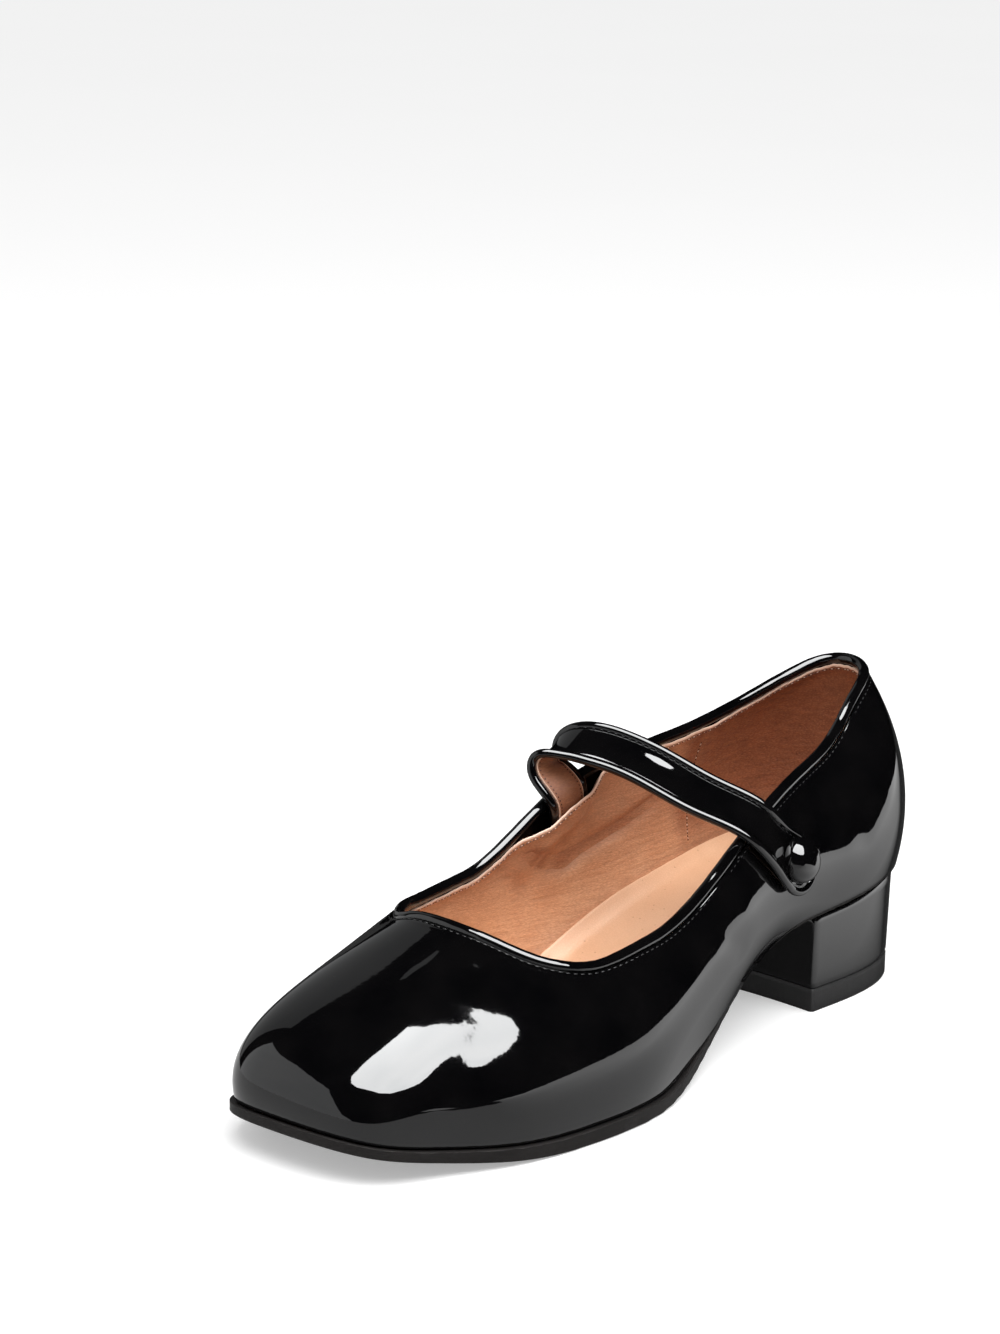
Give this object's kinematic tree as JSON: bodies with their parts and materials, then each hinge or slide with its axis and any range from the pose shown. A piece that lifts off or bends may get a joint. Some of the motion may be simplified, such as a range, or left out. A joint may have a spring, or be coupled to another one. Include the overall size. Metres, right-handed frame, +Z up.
{
  "type": "mary jane shoe",
  "caption": "Left mary jane shoe with a square toe, piped collar, buttoned instep strap, thin sole and low block heel.",
  "frame": {"origin": "on the floor, under the middle of the whole shoe", "axes": "+Z up, toe towards -Y, lateral side towards +X"},
  "size_m": [0.0862, 0.2514, 0.0952],
  "materials": {
    "upper_patent": "black patent, mirror gloss",
    "piping_patent": "black patent, mirror gloss",
    "strap_patent": "black patent, mirror gloss",
    "strap_bead_patent": "black patent, mirror gloss",
    "button_black": "polished black dome",
    "insole_leather": "smooth tan, matte",
    "outsole_rubber": "black, satin edge",
    "heel_black": "covered in black patent",
    "lift_rubber": "black, matte"
  },
  "bodies": {
    "root": {"upper": "upper_patent", "collar_piping": "piping_patent", "strap": "strap_patent", "strap_piping": "strap_bead_patent", "button": "button_black", "insole": "insole_leather", "outsole": "outsole_rubber", "heel_block": "heel_black", "heel_lift": "lift_rubber"}
  },
  "joints": []
}
